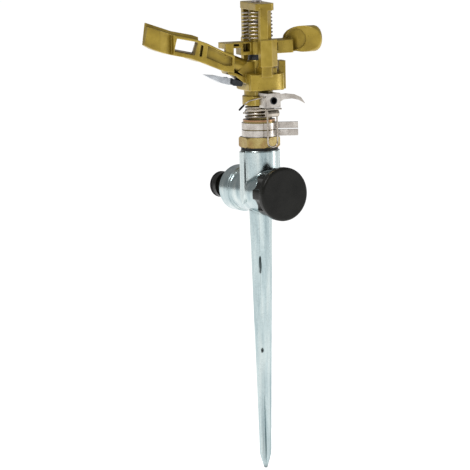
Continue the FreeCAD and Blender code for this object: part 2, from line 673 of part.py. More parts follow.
def arm_band():
    """Jet-side band: channel, vane ridges, window frame and the bent spoon."""
    front = side_prism(band_outline(0), BAND_FRONT_Y, BAND_STEP_Y)
    back = side_prism(band_outline(BAND_STEP_RISE), BAND_STEP_Y, SPOON_BACK_Y)
    wall_back = BAND_WALL_Y + BAND_WALL_THICKNESS
    keep_channel = box((-43.0, BAND_FRONT_Y - 1, 85), (-18.0, wall_back, 135))
    keep_frame = box((-85.0, BAND_FRONT_Y - 1, 85), (-43.0, SPOON_BACK_Y, 135))
    band = joined([front, back]).common(joined([keep_channel, keep_frame]))
    cutters = [
        # channel that opens to the front
        side_prism([(-39.0, 112.0), (-40.2, 104.4), (-27.4, 98.6), (-22.4, 98.2), (-22.0, 103.6),
                    (-26.4, 105.6)], BAND_FRONT_Y - 1, BAND_WALL_Y),
        # window
        side_prism([(-60.4, 117.7), (-45.8, 114.5), (-48.4, 106.3), (-62.5, 109.6)],
                   BAND_FRONT_Y - 1, BAND_FRONT_Y + WINDOW_RIM),
        # the window's slanting passage behind its rim
        prism([(x, BAND_FRONT_Y, z) for x, z in
               [(-60.4, 117.7), (-47.9, 115.0), (-50.6, 106.9), (-62.5, 109.6)]], WINDOW_PASSAGE),
        # pocket between the two vane ridges
        side_prism([(-43.9, 112.8), (-45.2, 105.6), (-43.5, 105.1), (-42.1, 112.3)],
                   BAND_FRONT_Y - 1, BAND_WALL_Y),
        # hollow behind the window's front wall
        side_prism([(-61.0, 110.8), (-44.8, 106.4), (-44.8, 112.6), (-61.0, 117.0)],
                   wall_back, SPOON_BACK_Y - 1.6),
        # the spoon's two front facets, either side of its ridge
        prism([(-72.2, BAND_FRONT_Y, 130), (-63.4, BAND_FRONT_Y + 2.8, 130),
               (-62.4, BAND_FRONT_Y - 1, 130), (-72.2, BAND_FRONT_Y - 1, 130)], (0, 0, -40)),
        prism([(-73.4, BAND_FRONT_Y, 130), (-84.0, BAND_FRONT_Y + 3.8, 130),
               (-84.0, BAND_FRONT_Y - 1, 130), (-73.4, BAND_FRONT_Y - 1, 130)], (0, 0, -40)),
        # the spoon thins to its tip
        prism([(-64.0, SPOON_BACK_Y + 0.1, 135), (-84.0, SPOON_BACK_Y - 10.5, 135),
               (-84.0, SPOON_BACK_Y + 1, 135), (-64.0, SPOON_BACK_Y + 1, 135)], (0, 0, -50)),
    ]
    for cutter in cutters:
        band = band.cut(cutter)
    apron = box((ARM_LEFT_X, BAND_WALL_Y - 1, ARM_BOTTOM_Z + 0.6),
                (-20.4, BAND_WALL_Y + BAND_WALL_THICKNESS, ARM_TOP_Z))
    link = box((ARM_LEFT_X, BAND_WALL_Y, ARM_ARCH_Z + 0.2), (-20.4, 1 - ARM_HALF_WIDTH, ARM_TOP_Z))
    return [band, apron, link]


def counterweight():
    """Round weight lying along the arm, cut at a slant and dished on its slanted face."""
    barrel = cylinder(WEIGHT_RADIUS, Vector(WEIGHT_LEFT_X, WEIGHT_Y, WEIGHT_Z),
                      Vector(WEIGHT_END_X, WEIGHT_Y, WEIGHT_Z))
    barrel = rounded(barrel, WEIGHT_EDGE, lambda edge: edge.BoundBox.XMin > WEIGHT_END_X - 0.01)
    reach = WEIGHT_RADIUS + 1
    slope = (WEIGHT_CUT_X - WEIGHT_LEFT_X) / (2 * WEIGHT_RADIUS)
    slant = [(WEIGHT_LEFT_X - slope, WEIGHT_Y + reach, WEIGHT_Z - reach),
             (WEIGHT_CUT_X + slope, WEIGHT_Y - reach, WEIGHT_Z - reach),
             (WEIGHT_LEFT_X - 9, WEIGHT_Y - reach, WEIGHT_Z - reach),
             (WEIGHT_LEFT_X - 9, WEIGHT_Y + reach, WEIGHT_Z - reach)]
    weight = barrel.cut(prism(slant, (0, 0, 2 * reach)))
    face_normal = Vector(-1, -slope, 0).normalize()
    along_face = Vector(-slope, 1, 0).normalize()
    middle = Vector((WEIGHT_LEFT_X + WEIGHT_CUT_X) / 2, WEIGHT_Y, WEIGHT_Z)
    long_radius = WEIGHT_RADIUS * math.hypot(1, slope)
    dish_centre = middle + along_face * (long_radius - RECESS_RADIUS - RECESS_MARGIN)
    recess = cylinder(RECESS_RADIUS, dish_centre - face_normal * WEIGHT_RECESS,
                      dish_centre + face_normal * 3)
    weight = weight.cut(recess)
    bar = box((12.0, WEIGHT_Y + 5.6, WEIGHT_Z - WEIGHT_RADIUS + 0.2),
              (WEIGHT_LEFT_X + 8.5, ARM_HALF_WIDTH, WEIGHT_BAR_TOP_Z))
    return [weight, bar]


def drive_arm():
    """Beam, jet-side band and counterweight in one casting, bored for its bushing."""
    arm = joined(arm_beam() + arm_band() + counterweight())
    return arm.cut(upright(BUSHING_RADIUS, ARM_BOTTOM_Z - 1, ARM_HUB_TOP_Z + 1))


def arm_bushing():
    """Flanged bush in the arm that runs on the fulcrum pin."""
    tube = upright(BUSHING_RADIUS, ARM_BOTTOM_Z, ARM_HUB_TOP_Z)
    low = ARM_BOTTOM_Z - 1.5 + FACE_GAP
    flange = upright(ARM_HUB_RADIUS - 0.6, low, ARM_BOTTOM_Z)
    bore = upright(PIN_RADIUS + RUNNING_CLEARANCE, low - 1, ARM_HUB_TOP_Z + 1)
    return joined([tube, flange]).cut(bore)


# ---------------------------------------------------------------- deflector


def deflector_bracket():
    """Small folded strap under the jet tube that carries the deflector's hinge pin."""
    cheek = [(HINGE_X - 1.6, 89.6), (HINGE_X - 1.9, 85.8), (HINGE_X - 0.4, 84.6),
             (HINGE_X + 5.4, 83.8), (HINGE_X + 6.6, 86.6)]
    strap = side_prism(cheek, -BRACKET_REACH, BRACKET_REACH)
    inside = side_prism([(HINGE_X - 4, 83.0), (HINGE_X + 3.2, 83.0), (HINGE_X + 3.2, 92.0),
                         (HINGE_X - 4, 92.0)], STRAP - BRACKET_REACH, BRACKET_REACH - STRAP)
    hole = cylinder(HINGE_RADIUS, Vector(HINGE_X, -8, HINGE_Z), Vector(HINGE_X, 8, HINGE_Z))
    strap = strap.cut(inside).cut(hole)
    gusset = side_prism(GUSSET_OUTLINE, -GUSSET_HALF_WIDTH, GUSSET_HALF_WIDTH)
    return strap.cut(gusset).cut(cylinder(TUBE_RADIUS, jet_axis(4.0), jet_axis(TUBE_END_X)))


def deflector_pin():
    """Rivet through the bracket's two cheeks."""
    end = BRACKET_REACH
    shaft = cylinder(HINGE_RADIUS, Vector(HINGE_X, -end, HINGE_Z), Vector(HINGE_X, end, HINGE_Z))
    heads = [cylinder(HINGE_HEAD_RADIUS, Vector(HINGE_X, side * end, HINGE_Z),
                      Vector(HINGE_X, side * (end + 0.5), HINGE_Z)) for side in (-1, 1)]
    return joined([shaft] + heads)


def deflector_plate():
    """Leaf-shaped trough that swings up into the jet to break it."""
    outline = [(-39.0, 92.6), (-30.5, 91.6), (-23.5, 89.8), (HINGE_X - 0.6, 89.6), (HINGE_X + 1.6, 87.4),
               (HINGE_X + 0.6, 85.5), (-22.5, 85.2), (-27.0, 86.4), (-33.0, 89.3)]
    half = 4.9
    leaf = side_prism(outline, -half, half)
    taper = prism([(-40.0, -0.9, 80), (-30.0, -3.8, 80), (-24.0, -half, 80), (-15.0, -half, 80),
                   (-15.0, half, 80), (-24.0, half, 80), (-30.0, 3.8, 80), (-40.0, 0.9, 80)], (0, 0, 20))
    inner = side_prism([(x + 0.2, z + 0.8) for x, z in outline[5:]] + [(-42.0, 94.0), (-10.0, 94.0),
                       (-10.0, 86.3)], -half, half)
    slim = prism([(-40.0, -0.3, 80), (-30.0, -3.1, 80), (-24.0, 0.7 - half, 80), (-15.0, 0.7 - half, 80),
                  (-15.0, half - 0.7, 80), (-24.0, half - 0.7, 80), (-30.0, 3.1, 80), (-40.0, 0.3, 80)],
                 (0, 0, 20))
    plate = leaf.common(taper).cut(inner.common(slim))
    hole = cylinder(HINGE_RADIUS + RUNNING_CLEARANCE, Vector(HINGE_X, -8, HINGE_Z),
                    Vector(HINGE_X, 8, HINGE_Z))
    return plate.cut(hole)


# ---------------------------------------------------------------- trip, drawn along +X from the axis


def trip_bracket():
    """Sheet box on the head's socket, with a round eye in its face for the pivot."""
    half = BRACKET_HALF_WIDTH
    shell = box((BRACKET_BACK - 4, -half, BRACKET_BOTTOM_Z), (BRACKET_FRONT, half, BRACKET_TOP_Z))
    inside = box((BRACKET_BACK - 5, SHEET - half, BRACKET_BOTTOM_Z - 1),
                 (BRACKET_FRONT - SHEET, half - SHEET, BRACKET_TOP_Z - SHEET))
    shell = shell.cut(inside)
    eye = cylinder(PIVOT_RADIUS, Vector(0, 0, TRIP_PIVOT_Z), Vector(30, 0, TRIP_PIVOT_Z))
    clear_neck = upright(SOCKET_RADIUS, SOCKET_BOTTOM_Z - 5, NECK_BOTTOM_Z)
    clear_step = upright(NECK_RADIUS, NECK_BOTTOM_Z - 1, BODY_BOTTOM_Z)
    lever_gap = box((LEVER_GAP_START, half - SHEET - 0.1, BRACKET_BOTTOM_Z - 1),
                    (LEVER_GAP_END, half + 1, BRACKET_TOP_Z - SHEET))
    return shell.cut(eye).cut(clear_neck).cut(clear_step).cut(lever_gap)


def trip_pivot():
    """Hollow rivet through the bracket's face and the socket wall."""
    barrel = cylinder(PIVOT_RADIUS, Vector(SOCKET_RADIUS - 0.2, 0, TRIP_PIVOT_Z),
                      Vector(BRACKET_FRONT + 0.5, 0, TRIP_PIVOT_Z))
    bore = cylinder(PIVOT_BORE_RADIUS, Vector(SOCKET_RADIUS + 1.0, 0, TRIP_PIVOT_Z),
                    Vector(BRACKET_FRONT + 2, 0, TRIP_PIVOT_Z))
    return barrel.cut(bore).cut(upright(SOCKET_RADIUS, 70, 80))


def trip_pin():
    """Hub with a wire loop that hangs down beside the collars' tabs."""
    hub_in = LOOP_HUB_REACH
    hub_out = hub_in + TRIP_PLATE
    hub = cylinder(TRIP_HUB_RADIUS, Vector(hub_in, 0, TRIP_PIVOT_Z), Vector(hub_out, 0, TRIP_PIVOT_Z))
    stem = box((hub_in, -1.6, 66.0), (hub_out, 1.6, TRIP_PIVOT_Z))
    roll = cylinder(2.3, Vector(TRIP_WIRE_REACH, -4.2, 66.1), Vector(TRIP_WIRE_REACH, 4.2, 66.1))
    half = TRIP_WIRE_HALF_WIDTH
    reach = TRIP_WIRE_REACH
    loop = wire_sweep([Vector(reach, -half, 66.0), Vector(reach, -half, TRIP_WIRE_BOTTOM_Z),
                       Vector(reach, half, TRIP_WIRE_BOTTOM_Z), Vector(reach, half, 66.0)],
                      half - 0.3, WIRE_RADIUS)
    bore = cylinder(PIVOT_RADIUS + RUNNING_CLEARANCE, Vector(0, 0, TRIP_PIVOT_Z),
                    Vector(30, 0, TRIP_PIVOT_Z))
    return joined([hub, stem, roll, loop]).cut(bore)


def trip_lever():
    """Claw-shaped sheet lever on the same pivot, reaching out to one side."""
    hub_in = LEVER_REACH
    hub_out = hub_in + TRIP_PLATE
    hub = cylinder(TRIP_HUB_RADIUS, Vector(hub_in, 0, TRIP_PIVOT_Z), Vector(hub_out, 0, TRIP_PIVOT_Z))
    outline = [(1.0, 72.4), (4.4, 71.6), (10.5, 74.4), (17.0, 74.6), (22.5, 73.2), (27.3, 70.6),
               (24.0, 75.0), (19.0, 77.3), (13.0, 78.2), (8.0, 78.0), (3.0, 77.4)]
    claw = prism([(hub_in, y, z) for y, z in outline], (TRIP_PLATE, 0, 0))
    bore = cylinder(PIVOT_RADIUS + RUNNING_CLEARANCE, Vector(0, 0, TRIP_PIVOT_Z),
                    Vector(30, 0, TRIP_PIVOT_Z))
    return joined([hub, claw]).cut(bore)


def trip_spring():
    """Bent wire under the bracket that runs round to the socket's side."""
    low = BRACKET_BOTTOM_Z - 0.7
    return wire_sweep([Vector(19.6, 5.0, low), Vector(19.0, -6.5, low), Vector(8.0, -13.5, low - 0.3),
                       Vector(5.2, -15.2, 66.4)], 1.0, WIRE_RADIUS)


def snap_wire():
    """Wire from the bracket's side that slopes down around the socket."""
    start = -BRACKET_HALF_WIDTH - WIRE_RADIUS - FACE_GAP
    return wire_sweep([Vector(15.5, start, 77.2), Vector(12.6, start - 1.6, 76.2),
                       Vector(6.3, -11.0, 74.4), Vector(4.7, -13.0, 72.7), Vector(2.0, -16.3, 68.4)],
                      0.8, SNAP_WIRE_RADIUS)


HEAD_PIECES = {
    "sprinkler_body": sprinkler_body,
    "nozzle": nozzle,
    "bearing_sleeve": bearing_sleeve,
    "sleeve_washer": sleeve_washer,
    "thrust_washer": thrust_washer,
    "bearing_spring": bearing_spring,
    "fulcrum_pin": fulcrum_pin,
    "arm_washer": arm_washer,
    "drive_spring": drive_spring,
    "drive_arm": drive_arm,
    "arm_bushing": arm_bushing,
    "deflector_bracket": deflector_bracket,
    "deflector_pin": deflector_pin,
    "deflector_plate": deflector_plate,
}
STAKE_PIECES = {
    "spike_body": spike_body,
    "end_cap": end_cap,
    "cap_washer": cap_washer,
    "inlet_nut": inlet_nut,
    "nipple_washer": nipple_washer,
    "hose_nipple": hose_nipple,
    "nipple_ring": nipple_ring,
    "inlet_strainer": inlet_strainer,
    "riser_seal": riser_seal,
    "bearing_nipple": bearing_nipple,
}
TRIP_PIECES = {
    "trip_bracket": trip_bracket,
    "trip_pivot": trip_pivot,
    "trip_pin": trip_pin,
    "trip_lever": trip_lever,
    "trip_spring": trip_spring,
    "snap_wire": snap_wire,
}


def save(shape, node):
    """Write one piece to its own STEP file."""
    shape.exportStep(os.path.join("parts", node + ".step"))
    print(node, shape.ShapeType, len(shape.Solids), shape.isValid(), round(shape.Volume, 1))


def build():
    """Make and save every piece."""
    os.makedirs("parts", exist_ok=True)
    for node, make in STAKE_PIECES.items():
        save(make(), node)
    save(stop_collar(LOWER_COLLAR_Z, LOWER_TAB_ANGLE), "lower_stop_collar")
    save(stop_collar(UPPER_COLLAR_Z, UPPER_TAB_ANGLE), "upper_stop_collar")
    for node, make in HEAD_PIECES.items():
        save(turned(make(), HEAD_YAW), node)
    for node, make in TRIP_PIECES.items():
        save(turned(make(), TRIP_YAW), node)


build()
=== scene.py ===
"""Looks for the impact sprinkler: cast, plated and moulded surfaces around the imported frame."""
import bpy
import bmesh
import json
import math
from mathutils import Matrix, Vector

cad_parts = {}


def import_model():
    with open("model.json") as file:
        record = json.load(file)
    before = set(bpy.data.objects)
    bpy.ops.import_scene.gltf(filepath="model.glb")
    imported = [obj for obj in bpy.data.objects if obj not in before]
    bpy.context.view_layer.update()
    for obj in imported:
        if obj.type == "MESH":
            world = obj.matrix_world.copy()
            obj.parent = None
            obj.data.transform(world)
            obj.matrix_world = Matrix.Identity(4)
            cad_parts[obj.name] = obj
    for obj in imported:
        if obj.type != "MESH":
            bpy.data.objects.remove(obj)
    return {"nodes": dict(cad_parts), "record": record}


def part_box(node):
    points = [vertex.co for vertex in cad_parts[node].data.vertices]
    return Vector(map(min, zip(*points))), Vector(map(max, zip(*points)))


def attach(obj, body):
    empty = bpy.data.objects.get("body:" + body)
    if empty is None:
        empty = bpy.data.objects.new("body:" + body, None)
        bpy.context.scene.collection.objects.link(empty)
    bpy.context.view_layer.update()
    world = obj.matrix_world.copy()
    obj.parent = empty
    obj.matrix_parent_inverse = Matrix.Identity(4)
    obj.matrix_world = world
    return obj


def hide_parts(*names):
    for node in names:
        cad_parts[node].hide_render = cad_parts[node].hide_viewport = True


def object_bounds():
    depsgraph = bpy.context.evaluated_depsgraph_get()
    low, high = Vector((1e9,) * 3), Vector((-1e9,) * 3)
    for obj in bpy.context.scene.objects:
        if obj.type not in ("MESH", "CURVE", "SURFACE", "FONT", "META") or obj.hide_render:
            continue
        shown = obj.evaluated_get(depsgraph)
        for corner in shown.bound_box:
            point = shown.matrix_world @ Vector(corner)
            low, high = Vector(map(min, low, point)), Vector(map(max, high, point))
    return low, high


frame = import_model()
CAD_LOW, CAD_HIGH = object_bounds()
MM = 0.001

# camera, in the frame's own axes
CAMERA_AZIMUTH = -31.965
CAMERA_ELEVATION = 7.352
CAMERA_ROLL = -1.188
CAMERA_DISTANCE = 2.8822
CAMERA_LENS = 336.45
SENSOR_WIDTH = 36.0
AIM_ACROSS = -0.01726
AIM_HEIGHT = -0.01489

# rounding of cast and moulded pieces
CAST_VOXEL = 0.24 * MM
STAKE_VOXEL = 0.36 * MM
# reach of the painted crevice shade, from ambient occlusion
CREVICE_REACH = 4.0 * MM
CAST_ROUNDS = 4
STAKE_ROUNDS = 3

# groove down the spike, between two of its fins
GROOVE_TOP_Z = 2.0 * MM
GROOVE_END_Z = -161.0 * MM
GROOVE_TOP_RADIUS = 6.08 * MM
GROOVE_END_RADIUS = 1.77 * MM
GROOVE_ANGLE = 45.0
POCKET_DETAIL = 4
SEAM_TOP_Z = -4.0 * MM
SEAM_END_Z = -158.0 * MM
SEAM_STEPS = 40
SEAM_WIDTH = 0.5 * MM
SEAM_PROUD = 0.16 * MM
SEAM_BURIED = 0.5 * MM

# dipped tip of the side wire: its lean and, going up the wire, its stations and radii in millimetres
SNAP_WIRE_RADIUS = 0.5 * MM
SNAP_WIRE_RISE = (3.3, -2.7, 4.3)
TIP_STATIONS = (-0.6, -0.4, 0.2, 1.5, 3.0, 4.2, 4.6)
TIP_RADII = (0.2, 0.5, 0.66, 0.7, 0.68, 0.62, 0.45)
SLEEVE_SIDES = 20

# part of a noise's range that a spread covers
NOISE_LOW = 0.3
NOISE_HIGH = 0.7

# pointiness where the lighter edge colour, partly wear and partly painted highlight, starts and
# where it is full
EDGE_STARTS = 0.51
EDGE_FULL = 0.58

# open share around a point for the painted crevice shade, from a full crevice to a clear surface
CREVICE_SHUT = 0.25
CREVICE_OPEN = 0.95

# relief of the metals, and their edge wear with painted edge highlight
GRAIN_DEPTH = 0.12 * MM
GRAIN_TO_GLOSS = 0.4
GRAIN_TO_BROAD = 0.12
EDGE_WEAR_AND_HIGHLIGHT = 0.7

# relief of the plastics
MOULD_DEPTH = 0.08 * MM
MOULD_CLOUD = 120.0
MOULD_GRAIN = 2600.0
MOULD_TO_GLOSS = 0.3
MOULD_STRENGTH = 0.18
GLOSS_SPREAD = 0.06

# stage
FLOOR_REACH = 6.0
FLOOR_CLEARANCE = 0.5 * MM
FLOOR_GLOW = 0.78
SURROUND = 0.30
FAR_CLIP = 50.0


# ---------------------------------------------------------------- materials


def new_material(name):
    """An empty node material with its Principled shader and output."""
    material = bpy.data.materials.new(name)
    material.use_nodes = True
    nodes = material.node_tree.nodes
    nodes.clear()
    shader = nodes.new("ShaderNodeBsdfPrincipled")
    output = nodes.new("ShaderNodeOutputMaterial")
    material.node_tree.links.new(shader.outputs["BSDF"], output.inputs["Surface"])
    return material, shader


def noise(material, scale, detail=4.0, roughness=0.55, stretch=(1.0, 1.0, 1.0)):
    """A noise texture fixed to the object, with its scale in cycles per metre."""
    tree = material.node_tree
    coordinates = tree.nodes.new("ShaderNodeTexCoord")
    mapping = tree.nodes.new("ShaderNodeMapping")
    mapping.inputs["Scale"].default_value = stretch
    texture = tree.nodes.new("ShaderNodeTexNoise")
    texture.inputs["Scale"].default_value = scale
    texture.inputs["Detail"].default_value = detail
    texture.inputs["Roughness"].default_value = roughness
    tree.links.new(coordinates.outputs["Object"], mapping.inputs["Vector"])
    tree.links.new(mapping.outputs["Vector"], texture.inputs["Vector"])
    return texture.outputs["Fac"]


def ramp(material, source, stops):
    """A colour ramp through (position, colour) stops."""
    node = material.node_tree.nodes.new("ShaderNodeValToRGB")
    elements = node.color_ramp.elements
    while len(elements) > 1:
        elements.remove(elements[-1])
    elements[0].position = stops[0][0]
    elements[0].color = (*stops[0][1], 1.0)
    for position, colour in stops[1:]:
        element = elements.new(position)
        element.color = (*colour, 1.0)
    material.node_tree.links.new(source, node.inputs["Fac"])
    return node.outputs["Color"]


def spread(material, source, low, high):
    """Maps a 0 to 1 value onto a range."""
    node = material.node_tree.nodes.new("ShaderNodeMapRange")
    node.inputs["From Min"].default_value = NOISE_LOW
    node.inputs["From Max"].default_value = NOISE_HIGH
    node.inputs["To Min"].default_value = low
    node.inputs["To Max"].default_value = high
    material.node_tree.links.new(source, node.inputs["Value"])
    return node.outputs["Result"]


def bump(material, shader, sources, distance):
    """Bump from several (height, strength) sources, chained."""
    normal = None
    for height, strength in sources:
        node = material.node_tree.nodes.new("ShaderNodeBump")
        node.inputs["Strength"].default_value = strength
        node.inputs["Distance"].default_value = distance
        material.node_tree.links.new(height, node.inputs["Height"])
        if normal is not None:
            material.node_tree.links.new(normal, node.inputs["Normal"])
        normal = node.outputs["Normal"]
    material.node_tree.links.new(normal, shader.inputs["Normal"])


def worn_and_highlit(material, base, edge, amount):
    """Lighter colour along convex edges, from the mesh's own pointiness: partly wear, partly painted
    highlight.
    """
    tree = material.node_tree
    geometry = tree.nodes.new("ShaderNodeNewGeometry")
    mask = tree.nodes.new("ShaderNodeMapRange")
    mask.inputs["From Min"].default_value = EDGE_STARTS
    mask.inputs["From Max"].default_value = EDGE_FULL
    mask.inputs["To Max"].default_value = amount
    tree.links.new(geometry.outputs["Pointiness"], mask.inputs["Value"])
    mix = tree.nodes.new("ShaderNodeMix")
    mix.data_type = "RGBA"
    tree.links.new(mask.outputs["Result"], mix.inputs["Factor"])
    tree.links.new(base, mix.inputs["A"])
    mix.inputs["B"].default_value = (*edge, 1.0)
    return mix.outputs["Result"]


def shade_crevices(material, base, amount):
    """Painted shade: darker colour in crevices, from ambient occlusion."""
    tree = material.node_tree
    occlusion = tree.nodes.new("ShaderNodeAmbientOcclusion")
    occlusion.inputs["Distance"].default_value = CREVICE_REACH
    mask = tree.nodes.new("ShaderNodeMapRange")
    mask.inputs["From Min"].default_value = CREVICE_SHUT
    mask.inputs["From Max"].default_value = CREVICE_OPEN
    mask.inputs["To Min"].default_value = 1.0 - amount
    tree.links.new(occlusion.outputs["AO"], mask.inputs["Value"])
    scale = tree.nodes.new("ShaderNodeVectorMath")
    scale.operation = "SCALE"
    tree.links.new(base, scale.inputs["Vector"])
    tree.links.new(mask.outputs["Result"], scale.inputs["Scale"])
    return scale.outputs["Vector"]


def metal(name, stops, roughness, grain, metallic=1.0, edge=None, cloud=60.0, strength=0.15,
          crevice_shade_amount=0.7, stretch=(1.0, 1.0, 1.0)):
    """A metal whose colour drifts between stops, with a fine grain in gloss and relief, painted
    shade in its crevices and, given an edge colour, lighter edges that are partly wear and partly
    painted highlight.
    """
    material, shader = new_material(name)
    colour = ramp(material, noise(material, cloud, stretch=stretch), stops)
    if edge is not None:
        colour = worn_and_highlit(material, colour, edge, EDGE_WEAR_AND_HIGHLIGHT)
    colour = shade_crevices(material, colour, crevice_shade_amount)
    material.node_tree.links.new(colour, shader.inputs["Base Color"])
    shader.inputs["Metallic"].default_value = metallic
    low, high = roughness
    gloss = spread(material, noise(material, grain * GRAIN_TO_GLOSS, 6.0), low, high)
    material.node_tree.links.new(gloss, shader.inputs["Roughness"])
    fine = noise(material, grain, 3.0)
    broad = noise(material, grain * GRAIN_TO_BROAD, 2.0)
    bump(material, shader, [(fine, strength), (broad, strength)], GRAIN_DEPTH)
    return material, shader


def bronze_paint():
    """Olive-gold metallic lacquer over a die casting."""
    # the edge colour below lightens convex edges: partly wear, partly painted highlight
    material, shader = metal(
        "bronze_paint",
        [(0.32, (0.29, 0.195, 0.018)), (0.52, (0.40, 0.278, 0.030)), (0.70, (0.50, 0.36, 0.058))],
        (0.26, 0.40), 2200.0, metallic=0.55, edge=(0.72, 0.57, 0.20), cloud=90.0, strength=0.22)
    shader.inputs["Coat Weight"].default_value = 0.25
    shader.inputs["Coat Roughness"].default_value = 0.22
    return material


def plated_zinc():
    """Bright zinc plating, slightly blue, with darker clouds and warmer, paler ones, stretched along
    its height: partly the plating's own tone, partly painted reflection.
    """
    return metal(
        "plated_zinc",
        [(0.34, (0.33, 0.42, 0.44)), (0.50, (0.47, 0.56, 0.57)), (0.66, (0.62, 0.69, 0.68))],
        (0.16, 0.30), 1500.0, cloud=170.0, strength=0.18, crevice_shade_amount=0.9, stretch=(1.0, 1.0, 0.10))[0]


def brass():
    """Turned brass with coppery patches."""
    return metal(
        "brass",
        [(0.32, (0.33, 0.20, 0.08)), (0.50, (0.42, 0.32, 0.12)), (0.68, (0.56, 0.45, 0.20))],
        (0.22, 0.36), 1800.0, cloud=110.0, strength=0.12)[0]


def copper():
    """Copper-coloured washer metal."""
    return metal("copper_washer", [(0.35, (0.34, 0.18, 0.09)), (0.65, (0.46, 0.28, 0.15))],
                 (0.22, 0.35), 1800.0)[0]


def nickel():
    """Nickel-plated strip: warm and bright."""
    return metal("nickel_strip", [(0.35, (0.44, 0.40, 0.36)), (0.65, (0.66, 0.62, 0.57))],
                 (0.16, 0.30), 1600.0, cloud=190.0, strength=0.16)[0]


def spring_steel():
    """Bright drawn wire."""
    return metal("spring_steel", [(0.35, (0.32, 0.28, 0.23)), (0.65, (0.58, 0.52, 0.45))],
                 (0.18, 0.30), 2400.0, cloud=200.0, strength=0.10)[0]


def pin_steel():
    """Plain steel, slightly pink."""
    return metal("pin_steel", [(0.35, (0.50, 0.45, 0.44)), (0.65, (0.66, 0.60, 0.58))],
                 (0.24, 0.38), 1800.0)[0]


def blade_steel():
    """Bare blue-grey sheet steel."""
    return metal("blade_steel", [(0.35, (0.34, 0.36, 0.39)), (0.65, (0.62, 0.65, 0.68))],
                 (0.14, 0.26), 1500.0, cloud=80.0)[0]


def dark_steel():
    """Blackened strip."""
    return metal("dark_steel", [(0.35, (0.03, 0.035, 0.04)), (0.65, (0.07, 0.075, 0.085))],
                 (0.32, 0.46), 1800.0, metallic=0.7)[0]


def plastic(name, low, high, roughness):
    """Moulded plastic or rubber with a fine moulded grain."""
    material, shader = new_material(name)
    colour = ramp(material, noise(material, MOULD_CLOUD), [(0.35, low), (0.65, high)])
    material.node_tree.links.new(colour, shader.inputs["Base Color"])
    shader.inputs["Specular IOR Level"].default_value = 0.22
    gloss = spread(material, noise(material, MOULD_GRAIN * MOULD_TO_GLOSS),
                   roughness - GLOSS_SPREAD, roughness + GLOSS_SPREAD)
    material.node_tree.links.new(gloss, shader.inputs["Roughness"])
    bump(material, shader, [(noise(material, MOULD_GRAIN, 2.0), MOULD_STRENGTH)], MOULD_DEPTH)
    return material


MATERIALS = {
    "bronze_paint": bronze_paint(),
    "plated_zinc": plated_zinc(),
    "brass": brass(),
    "copper_washer": copper(),
    "nickel_strip": nickel(),
    "spring_steel": spring_steel(),
    "pin_steel": pin_steel(),
    "blade_steel": blade_steel(),
    "dark_steel": dark_steel(),
    "black_plastic": plastic("black_plastic", (0.006, 0.006, 0.005), (0.012, 0.012, 0.010), 0.30),
    "seal_rubber": plastic("seal_rubber", (0.012, 0.012, 0.012), (0.024, 0.024, 0.024), 0.62),
    "washer_plastic": plastic("washer_plastic", (0.030, 0.032, 0.036), (0.05, 0.052, 0.058), 0.40),
    "white_plastic": plastic("white_plastic", (0.62, 0.61, 0.56), (0.74, 0.73, 0.69), 0.45),
}


# ---------------------------------------------------------------- pieces


SLOT_OF = {part["node"]: part["material_slot"] for part in frame["record"]["subparts"]}
BODY_OF = {node: body for body, nodes in frame["record"]["behaviour"]["bodies"].items()
           for node in nodes}


def dress(piece, slot):
    """Gives a piece its slot's material, alone."""
    piece.data.materials.clear()
    piece.data.materials.append(MATERIALS[slot])


def join(piece, body, slot):
    """Gives a piece its material and lets it ride on a body."""
    dress(piece, slot)
    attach(piece, body)


def adopt(piece, node, slot=None):
    """Makes a new piece stand for a CAD node, on the node's own body."""
    join(piece, BODY_OF[node], slot or SLOT_OF[node])
    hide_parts(node)


def placed(name, data):
    """A new object in the scene for a mesh, light or camera."""
    piece = bpy.data.objects.new(name, data)
    bpy.context.scene.collection.objects.link(piece)
    return piece


def copied(node, name):
    """A new object with its own copy of a CAD node's mesh."""
    return placed(name, frame["nodes"][node].data.copy())


def new_mesh(name, build):
    """An object in the scene from a bmesh as it stands."""
    mesh = bpy.data.meshes.new(name)
    build.to_mesh(mesh)
    build.free()
    return placed(name, mesh)


def new_piece(name, build):
    """An object in the scene from a closed bmesh, with its faces turned outwards."""
    bmesh.ops.recalc_face_normals(build, faces=build.faces)
    return new_mesh(name, build)


def finished(source, name):
    """A new object that holds a modified object's final mesh."""
    depsgraph = bpy.context.evaluated_depsgraph_get()
    mesh = bpy.data.meshes.new_from_object(source.evaluated_get(depsgraph))
    piece = placed(name, mesh)
    old = source.data
    bpy.data.objects.remove(source)
    bpy.data.meshes.remove(old)
    for polygon in mesh.polygons:
        polygon.use_smooth = True
    return piece


def softened(node, voxel, rounds, cutters=()):
    """A cast-looking copy of a CAD node, with every edge rounded a little and pockets cut in it."""
    work = copied(node, node + "_work")
    for cutter in cutters:
        cut = work.modifiers.new("cut", "BOOLEAN")
        cut.operation = "DIFFERENCE"
        cut.solver = "EXACT"
        cut.object = cutter
    remesh = work.modifiers.new("remesh", "REMESH")
    remesh.mode = "VOXEL"
    remesh.voxel_size = voxel * 1.0
    smooth = work.modifiers.new("smooth", "SMOOTH")
    smooth.factor = 0.5
    smooth.iterations = rounds
    piece = finished(work, node + "_cast")
    for cutter in cutters:
        bpy.data.objects.remove(cutter)
    adopt(piece, node)


def groove_point(z, proud=0.0):
    """A point at the bottom of the spike's groove between the -X and -Y fins."""
    share = (GROOVE_TOP_Z - z) / (GROOVE_TOP_Z - GROOVE_END_Z)
    radius = GROOVE_TOP_RADIUS + share * (GROOVE_END_RADIUS - GROOVE_TOP_RADIUS) + proud
    side = -radius / math.sqrt(2)
    return Vector((side, side, z))


